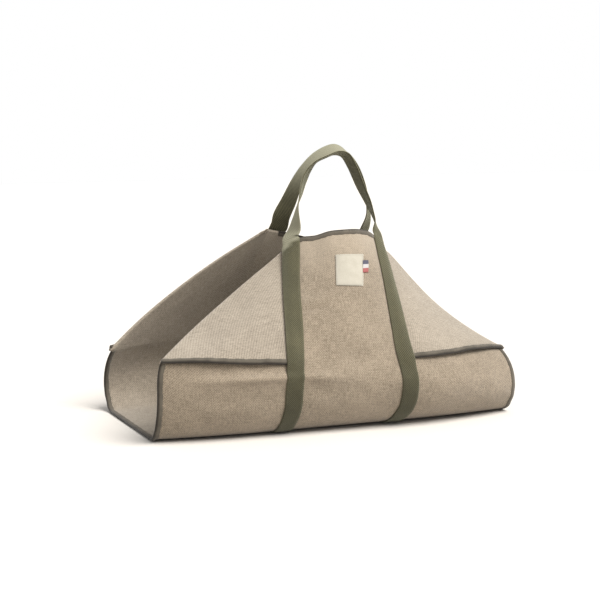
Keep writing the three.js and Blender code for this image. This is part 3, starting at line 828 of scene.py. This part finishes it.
# The sheet with uneven edges, and a crown that falls with the eighth power of the way out. Gives the piece,
# its width and height along the cloth, and its four lines of stitches.
def buildPatch():
    share = np.linspace(0, 1, patch["cells"] + 1)
    u, v = np.meshgrid(share, share)
    crown = patch["crown"] * (1 - (2 * u - 1) ** 8) * (1 - (2 * v - 1) ** 8)
    seat = cloth["wall"] / 2 + patch["seat"]
    points, _ = patchSurface(u + frayed(v, u), v + frayed(u, v), seat + patch["wall"] / 2 + crown)
    size = arcLength(points, 1)[0, -1], arcLength(points, 0)[-1, 0]
    piece = makeGrid("patchPiece", points, mapOf(u * size[0], v * size[1]), turned=True)
    thicken(piece, patch["wall"])
    inU, inV = (patch["stitchInset"] / length for length in size)
    walk = np.linspace(0, 1, patch["seamPoints"])
    wayU, wayV = (inset + walk * (1 - 2 * inset) for inset in (inU, inV))
    seam = seat + patch["wall"] + patch["stitchLift"]
    around = ((wayU, 1 - inV), (1 - inU, 1 - wayV), (1 - wayU, inV), (inU, wayV))
    return piece, size, [patchSurface(a, b, seam) for a, b in around]


# A ribbon folded double: out from under the patch's edge, round a loop and back, each by a sine.
def buildRibbon():
    way = np.linspace(0, 1, ribbon["cells"] + 1)
    rows = np.linspace(ribbon["low"], ribbon["high"], ribbon["rows"] + 1)
    (upEdge, upPlace), (lowEdge, lowPlace) = patch["corners"][1:3]
    edge = lowEdge + (upEdge - lowEdge) * (rows - lowPlace) / (upPlace - lowPlace)
    there = np.sin(np.clip(way * 2, 0, 1) * math.pi / 2)
    reach = np.where(way < 0.5, there, there[::-1]) * ribbon["length"]
    rise = ribbon["seat"] + ribbon["loop"] * (1 - np.cos(way * math.pi)) / 2
    across = edge[:, None] - ribbon["tuck"] + reach[None, :]
    lift = cloth["wall"] / 2 + rise[None, :] + ribbon["wave"] * np.sin(rows * 60)[:, None]
    points, _ = raised(across, -(2 + rows)[:, None], lift)
    height = (rows - rows[0]) / (rows[-1] - rows[0])
    piece = makeGrid("ribbonTab", points, mapOf(way[None, :] * 2 * ribbon["length"], height[:, None]))
    thicken(piece, ribbon["wall"])
    return piece


patchPiece, patchSize, patchLines = buildPatch()
ribbonPiece = buildRibbon()
print("patch:", [round(float(size), 4) for size in patchSize])


# Stitching

stitch = {"pitch": 0.0036, "length": 0.0028, "radius": 0.00034}
patchStitch = {"pitch": 0.0030, "length": 0.0023, "radius": 0.00028}
bar = {
    "shares": (-1, -0.7, 0, 0.7, 1),  # of half its length
    "widths": (0.25, 0.85, 1, 0.85, 0.25),  # of its radius
    "arch": 0.35,  # how far its middle stands up and its ends dip, in radii
    "dip": 1.1,
    "sides": 6,
}


# Small rounded bars at an equal pitch along lines, each a parabola that dips into the cloth at its ends.
def makeStitches(name, lines, pitch, length, radius):
    centres, alongs, ups = [], [], []
    for points, normals in lines:
        reach = arcLength(points, 0)
        places = np.arange(pitch / 2, reach[-1], pitch)
        pick = lambda values: stackXyz(*(np.interp(places, reach, values[:, axis]) for axis in range(3)))
        centres.append(pick(points))
        ups.append(unit(pick(normals)))
        alongs.append(unit(pick(np.gradient(points, axis=0))))
    centre, along, up = (np.concatenate(parts)[:, None, None, :] for parts in (centres, alongs, ups))
    across = np.cross(along, up)
    shares, widths = (np.array(bar[key])[None, :, None, None] for key in ("shares", "widths"))
    angle = np.linspace(0, 2 * math.pi, bar["sides"], endpoint=False)[None, None, :, None]
    width, arch = widths * radius, (bar["arch"] - bar["dip"] * shares**2) * radius
    points = centre + along * (shares * length / 2) + up * arch
    points = points + across * (width * np.cos(angle)) + up * (width * np.sin(angle))
    ring = np.arange(shares.size * bar["sides"]).reshape(shares.size, bar["sides"])
    shift = np.arange(len(points))[:, None, None] * ring.size
    faces = []
    for part in (quadsOf(ring, closed=True)[:, ::-1], ring[:1], ring[-1:, ::-1]):
        faces += (part[None] + shift).reshape(-1, part.shape[1]).tolist()
    return makePiece(name, points, faces)


# Lines of stitches along both edges of a strap, and two across it below each hem.
def strapLines(side):
    inset = strap["half"] - strap["stitchInset"]
    runs = np.linspace(-strap["stitchEnd"], strap["stitchEnd"], 400)
    offsets = np.linspace(-inset, inset, 16)
    lines = [strapPoint(side, offset, runs, strap["thick"]) for offset in (-inset, inset)]
    for face in (front, back):
        for depth in strap["seamDepths"]:
            lines.append(strapPoint(side, offsets, face * (3 - depth), strap["thick"]))
    return lines


stitchesStraps = makeStitches("stitchesStraps", strapLines(left) + strapLines(right), **stitch)
stitchesTapes = makeStitches("stitchesTapes", tapeLines, **stitch)
stitchesPatch = makeStitches("stitchesPatch", patchLines, **patchStitch)
print("stitches:", [len(piece.data.polygons) for piece in (stitchesStraps, stitchesTapes, stitchesPatch)])


# Materials

# A socket that takes part in Python expressions: each operator adds a Math node.
class Wire:
    def __init__(self, paint, socket):
        self.paint, self.socket = paint, socket

    def maths(self, operation, *values):
        return self.paint.add("ShaderNodeMath", {"operation": operation}, dict(enumerate(values)))

    def __add__(self, other):
        return self.maths("ADD", self, other)

    def __sub__(self, other):
        return self.maths("SUBTRACT", self, other)

    def __rsub__(self, other):
        return self.maths("SUBTRACT", other, self)

    def __mul__(self, other):
        return self.maths("MULTIPLY", self, other)

    def __truediv__(self, other):
        return self.maths("DIVIDE", self, other)

    def __rtruediv__(self, other):
        return self.maths("DIVIDE", other, self)

    __radd__ = __add__
    __rmul__ = __mul__

    def sine(self):
        return self.maths("SINE", self)

    def size(self):
        return self.maths("ABSOLUTE", self)

    def floor(self):
        return self.maths("FLOOR", self)

    def modulo(self, other):
        return self.maths("MODULO", self, other)

    def above(self, other):
        return self.maths("GREATER_THAN", self, other)

    def atLeast(self, other):
        return self.maths("MAXIMUM", self, other)

    # A sine of the given pitch, about its middle.
    def waves(self, pitch, size=0.5, middle=0.5):
        return (self * (2 * math.pi / pitch)).sine() * size + middle


shaderSockets = {
    "specular": "Specular IOR Level",
    "sheen": "Sheen Weight",
    "sheenRough": "Sheen Roughness",
    "sheenTint": "Sheen Tint",
}


# A material, with a method for each kind of node that is used often.
class Paint:
    def __init__(self, name):
        self.material = bpy.data.materials.new(name)
        self.material.use_nodes = True
        self.tree = self.material.node_tree
        self.shader = self.tree.nodes["Principled BSDF"]

    # Values or links for a node's sockets.
    def plug(self, node, sockets):
        for name, value in sockets.items():
            if isinstance(value, Wire):
                self.tree.links.new(value.socket, node.inputs[name])
            else:
                node.inputs[name].default_value = value

    # Any node: its settings first, then its sockets; gives the named output.
    def add(self, kind, settings=None, sockets=None, output=0):
        node = self.tree.nodes.new(kind)
        for name, value in (settings or {}).items():
            setattr(node, name, value)
        self.plug(node, sockets or {})
        return Wire(self, node.outputs[output])

    # The shader's colour and roughness, and its constants by their short names.
    def feed(self, colour, rough, **constants):
        sockets = {shaderSockets[key]: value for key, value in constants.items()}
        self.plug(self.shader, {"Base Color": colour, "Roughness": rough, **sockets})

    def bump(self, height, distance, strength):
        sockets = {"Height": height, "Distance": distance, "Strength": strength}
        self.plug(self.shader, {"Normal": self.add("ShaderNodeBump", {}, sockets)})

    # The map's two coordinates.
    def mapped(self):
        spot = self.add("ShaderNodeUVMap", {"uv_map": "weave"})
        split = self.add("ShaderNodeSeparateXYZ", sockets={"Vector": spot})
        return split, Wire(self, split.socket.node.outputs[1])

    # Place in the part's frame, and how high that is.
    def place(self):
        return self.add("ShaderNodeTexCoord", output="Object")

    def height(self):
        return self.add("ShaderNodeSeparateXYZ", sockets={"Vector": self.place()}, output="Z")

    # A value that spread has stored.
    def stored(self, name):
        return self.add("ShaderNodeAttribute", {"attribute_name": name}, output="Fac")

    # Fractal noise by a vector, by the stretched map, and by the place.
    def noise(self, vector, scale, detail=2.0, rough=0.55):
        sockets = {"Vector": vector, "Scale": scale, "Detail": detail, "Roughness": rough}
        return self.add("ShaderNodeTexNoise", {}, sockets)

    def streaks(self, x, y):
        return self.noise(self.add("ShaderNodeCombineXYZ", sockets={"X": x, "Y": y}), 1.0)

    def blotch(self, scale, detail=3.0):
        return self.noise(self.place(), scale, detail)

    def mix(self, factor, first, second):
        colour = lambda value: value if isinstance(value, Wire) else (*value, 1)
        settings = {"data_type": "RGBA", "blend_type": "MIX", "clamp_factor": True}
        return self.add("ShaderNodeMix", settings, {0: factor, 6: colour(first), 7: colour(second)}, output=2)


# A colour as seen on screen, made linear.
def linear(red, green, blue):
    turn = lambda value: value / 12.92 if value <= 0.04045 else ((value + 0.055) / 1.055) ** 2.4
    return tuple(turn(value / 255) for value in (red, green, blue))


# Pitches in metres, scales of noise in patches per metre, bump as depth in metres and strength.
canvasLook = {
    "pitch": 0.0021,
    "slub": 70,
    "slubShape": 9,  # how much longer than wide
    "cloud": 16,
    "fleck": 420,
    # how far the painted highlight goes towards its pale tone
    "highlit": 0.55,
    "sheen": 0.25,
    "bump": (0.0004, 0.75),
}
webbingLook = {
    "ribPitch": 0.0036,
    "crossPitch": 0.0017,
    "edgePitch": 0.0020,
    "edgeWidth": 0.0022,
    "cloud": 26,
    "fibre": (900, 160),
    "lowShade": 0.72,  # how far it is painted darker at the ground: painted shade
    "lowShadeTop": 0.15,  # and up to which height
    "tint": (0.92, 0.92, 0.70, 1),
    "bump": (0.0005, 0.85),
}
tapeLook = {
    "ribPitch": 0.0016,
    "cloud": 55,
    "nose": 0.0102,  # way round its section to the fold
    "noseHalf": 0.0036,
    "noseReach": 1.4,  # in noseHalf
    # how much darker the nose is painted: painted shade
    "noseShade": 0.75,
    "bump": (0.00025, 0.6),
}
patchLook = {"pitch": 0.0011, "cloud": 60, "fleck": 700, "bump": (0.0002, 0.6)}
ribbonLook = {
    "ribPitch": 0.0008,
    "stripes": (0.34, 0.66),  # shares of its height
    "fleck": 500,
    "dirt": (0.22, 0.20, 0.20),
    "bump": (0.00012, 0.6),
}
threadLook = {"twist": 900, "bump": (0.0001, 0.4)}


# Plain weave: in each cell of a check the warp's or the weft's thread lies on top, each a half sine across.
def weaveHeight(u, v, pitch):
    first, second = u / pitch, v / pitch
    cell = (first.floor() + second.floor()).modulo(2).size()
    warp = (first * math.pi).sine().size()
    weft = (second * math.pi).sine().size()
    return warp * cell + weft * (1 - cell), cell


# Tone as a weighted sum of slubs both ways, clouds, weave and flecks; paler where a painted highlight lies,
# up to the hems and along the folds.
def canvasPaint(paint, dark, light, highlit):
    u, v = paint.mapped()
    height, cell = weaveHeight(u, v, canvasLook["pitch"])
    slub, shape = canvasLook["slub"], canvasLook["slubShape"]
    weftSlub = paint.streaks(u * slub, v * slub * shape)
    warpSlub = paint.streaks(u * slub * shape, v * slub)
    threads = weftSlub * 0.5 + warpSlub * 0.5
    cloud = paint.blotch(canvasLook["cloud"])
    fleck = paint.blotch(canvasLook["fleck"], 1.0)
    tone = threads * 1.9 + cloud * 0.5 + height * 0.35 + cell * 0.34 + fleck * 0.7 - 1.40
    colour = paint.mix(paint.stored("paintedHighlight") * canvasLook["highlit"], paint.mix(tone, dark, light), highlit)
    paint.feed(colour, 0.93 - height * 0.06, specular=0.2, sheen=canvasLook["sheen"], sheenRough=0.6)
    paint.bump(height * 0.6 + threads * 1.4, *canvasLook["bump"])


# Twill: ribs that slant across the webbing, cut by fine cross threads, with a tighter rib at each edge.
# Painted paler where it faces or tilts up to the light (painted highlight), and darker towards the ground
# (painted shade).
def webbingPaint(paint, dark, light, litTone):
    u, v = paint.mapped()
    slant = (u * 0.9 + v).waves(webbingLook["ribPitch"])
    cross = (u - v * 0.35).waves(webbingLook["crossPitch"])
    edge = u.size().above(strap["half"] - webbingLook["edgeWidth"])
    rib = (slant * 0.75 + cross * 0.25) * (1 - edge) + edge * v.waves(webbingLook["edgePitch"], 0.3, 0.6)
    cloud = paint.blotch(webbingLook["cloud"])
    fibreU, fibreV = webbingLook["fibre"]
    fibre = paint.streaks(u * fibreU, v * fibreV)
    tone = rib * 0.95 + cloud * 0.5 + fibre * 0.6 - 0.62
    # Painted highlight: paler by the stored share, towards the lit tone.
    colour = paint.mix(paint.stored("paintedLight") * (0.55 + rib * 0.2), paint.mix(tone, dark, light), litTone)
    # Painted shade: darker towards the ground.
    lowShade = (1 - paint.height() / webbingLook["lowShadeTop"]).atLeast(0.0)
    colour = paint.mix(lowShade * webbingLook["lowShade"], colour, dark)
    tint = webbingLook["tint"]
    paint.feed(colour, 0.86 - rib * 0.08, specular=0.25, sheen=0.3, sheenRough=0.5, sheenTint=tint)
    paint.bump(rib + fibre * 0.5, *webbingLook["bump"])


# Fine slanting ribs along the band, rubbed paler here and there, and painted darker round its nose: painted
# shade where it curves under.
def tapePaint(paint, dark, light):
    u, v = paint.mapped()
    rib = (u * 0.7 + v).waves(tapeLook["ribPitch"])
    cloud = paint.blotch(tapeLook["cloud"])
    away = (u - tapeLook["nose"]).size() / tapeLook["noseHalf"]
    nose = (tapeLook["noseReach"] - away).atLeast(0.0)
    tone = rib * 0.35 + cloud * 0.9 - nose * tapeLook["noseShade"] - 0.06
    paint.feed(paint.mix(tone, dark, light), 0.88 - rib * 0.08, specular=0.25, sheen=0.2)
    paint.bump(rib, *tapeLook["bump"])


# A finer plain weave, with clouds and flecks.
def patchPaint(paint, dark, light):
    height, _ = weaveHeight(*paint.mapped(), patchLook["pitch"])
    cloud = paint.blotch(patchLook["cloud"])
    fleck = paint.blotch(patchLook["fleck"], 1.0)
    tone = cloud * 0.7 + fleck * 0.5 + height * 0.2 - 0.2
    paint.feed(paint.mix(tone, dark, light), 0.92 - height * 0.05, specular=0.2, sheen=0.2)
    paint.bump(height, *patchLook["bump"])


# Three woven stripes, one above the other, with ribs across.
def ribbonPaint(paint, low, middle, high):
    u, v = paint.mapped()
    rib = u.waves(ribbonLook["ribPitch"])
    fleck = paint.blotch(ribbonLook["fleck"], 1.0)
    firstEdge, secondEdge = ribbonLook["stripes"]
    colour = paint.mix(v.above(firstEdge), low, middle)
    colour = paint.mix(v.above(secondEdge), colour, high)
    paint.feed(paint.mix(fleck * 0.25, colour, ribbonLook["dirt"]), 0.72 - rib * 0.1, sheen=0.2)
    paint.bump(rib, *ribbonLook["bump"])


# Fine noise for the twist of a thread.
def threadPaint(paint, dark, light):
    twist = paint.blotch(threadLook["twist"], 1.0)
    paint.feed(paint.mix(twist, dark, light), 0.7 + twist * 0.2, sheen=0.2)
    paint.bump(twist, *threadLook["bump"])


# A material by its recipe, from colours as seen on screen.
def mixed(name, recipe, *colours):
    paint = Paint(name)
    recipe(paint, *(linear(*colour) for colour in colours))
    return paint.material


# The third colour of each canvas is the pale tone of its painted highlight.
outsidePaint = mixed("canvasOutside", canvasPaint, (92, 81, 65), (154, 140, 121), (182, 169, 150))
insidePaint = mixed("canvasInside", canvasPaint, (104, 94, 80), (165, 154, 138), (184, 174, 159))
# The webbing's third colour is the pale tone of its painted highlight.
oliveWebbing = mixed("webbingOlive", webbingPaint, (36, 34, 22), (98, 94, 69), (158, 155, 134))
darkTape = mixed("tapeDark", tapePaint, (40, 35, 28), (104, 97, 85))
creamCotton = mixed("patchCream", patchPaint, (154, 148, 134), (182, 177, 164))
stripedRibbon = mixed("ribbonStriped", ribbonPaint, (142, 58, 53), (176, 172, 170), (30, 31, 60))
oliveThread = mixed("threadOlive", threadPaint, (58, 55, 40), (94, 90, 70))
brownThread = mixed("threadBrown", threadPaint, (56, 50, 42), (94, 87, 76))
creamThread = mixed("threadCream", threadPaint, (158, 152, 138), (182, 178, 166))
print("materials done")


# A piece's materials, and what it stands for.
def declare(piece, paints, slot, *nodes):
    for paint in paints:
        piece.data.materials.append(paint)
    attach(piece, "root")
    if nodes:
        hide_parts(*nodes)


declare(canvas, [outsidePaint, insidePaint], "canvas", "canvas_body")
for node, piece in webbing.items():
    declare(piece, [oliveWebbing], "webbing", node)
for node, piece in tapes.items():
    declare(piece, [darkTape], "tape", node)
declare(patchPiece, [creamCotton], "patch", "patch")
declare(ribbonPiece, [stripedRibbon], "ribbon", "ribbon_tab")
declare(stitchesStraps, [oliveThread], "webbing")
declare(stitchesTapes, [brownThread], "tape")
declare(stitchesPatch, [creamThread], "patch")
print("pieces declared")


# Floor, light and camera

studio = {
    "floorSize": 14.0,
    "floorZ": -0.0002,
    "floorTone": (0.64, 0.61, 0.57),
    "floorCloud": 0.985,  # how much darker its clouds are
    "backdropTone": (1.0, 1.0, 1.0),
    "roomLight": 0.66,
    "keyPower": 5.0,
    "keyTone": (1.0, 0.98, 0.955),
    "keySoftness": 42.0,  # degrees
    "keyFrom": (0.42, -0.55, 1.0),
    "cameraTurn": -23.0,
    "cameraRise": 7.7,
    "cameraFar": 2.610,
    "cameraAim": (-0.0157, 0.0, 0.1985),
    "lens": 90.0,
    "sensor": 36.0,
    "clip": (0.05, 60.0),
}


# A flat grid, faintly uneven in its colour.
def buildFloor():
    line = np.linspace(-studio["floorSize"] / 2, studio["floorSize"] / 2, 9)
    x, y = np.meshgrid(line, line)
    floor = makeGrid("studioFloor", stackXyz(x, y, studio["floorZ"]), turned=True)
    paint = Paint("floorPale")
    tone = studio["floorTone"]
    darker = tuple(value * studio["floorCloud"] for value in tone)
    paint.feed(paint.mix(paint.blotch(0.7), tone, darker), 0.85)
    floor.data.materials.append(paint.material)


# One wide soft key, and a white room: what the camera sees of it is white, what lights the part is dimmer.
def buildLight():
    data = bpy.data.lights.new("keyLight", "SUN")
    data.energy, data.color = studio["keyPower"], studio["keyTone"]
    data.angle = math.radians(studio["keySoftness"])
    lamp = bpy.data.objects.new("keyLight", data)
    lamp.rotation_euler = (-Vector(studio["keyFrom"])).to_track_quat("-Z", "Y").to_euler()
    bpy.context.scene.collection.objects.link(lamp)
    world = bpy.data.worlds.new("studioRoom")
    world.use_nodes = True
    nodes, links = world.node_tree.nodes, world.node_tree.links
    room, backdrop = nodes["Background"], nodes.new("ShaderNodeBackground")
    for shader in (room, backdrop):
        shader.inputs["Color"].default_value = (*studio["backdropTone"], 1)
    room.inputs["Strength"].default_value = studio["roomLight"]
    seen = nodes.new("ShaderNodeLightPath")
    both = nodes.new("ShaderNodeMixShader")
    links.new(seen.outputs["Is Camera Ray"], both.inputs["Fac"])
    links.new(room.outputs["Background"], both.inputs[1])
    links.new(backdrop.outputs["Background"], both.inputs[2])
    links.new(both.outputs["Shader"], nodes["World Output"].inputs["Surface"])
    bpy.context.scene.world = world
    bpy.context.scene.view_settings.view_transform = "Standard"


# The photo's view: away from the aim by the turn and the rise, looking back at it.
def buildCamera():
    turn, rise = math.radians(studio["cameraTurn"]), math.radians(studio["cameraRise"])
    away = Vector((math.sin(turn) * math.cos(rise), -math.cos(turn) * math.cos(rise), math.sin(rise)))
    data = bpy.data.cameras.new("camera")
    data.lens, data.sensor_width = studio["lens"], studio["sensor"]
    data.clip_start, data.clip_end = studio["clip"]
    camera = bpy.data.objects.new("camera", data)
    camera.location = Vector(studio["cameraAim"]) + away * studio["cameraFar"]
    camera.rotation_euler = (-away).to_track_quat("-Z", "Y").to_euler()
    bpy.context.scene.collection.objects.link(camera)
    bpy.context.scene.camera = camera


buildFloor()
buildLight()
buildCamera()
print("studio done")
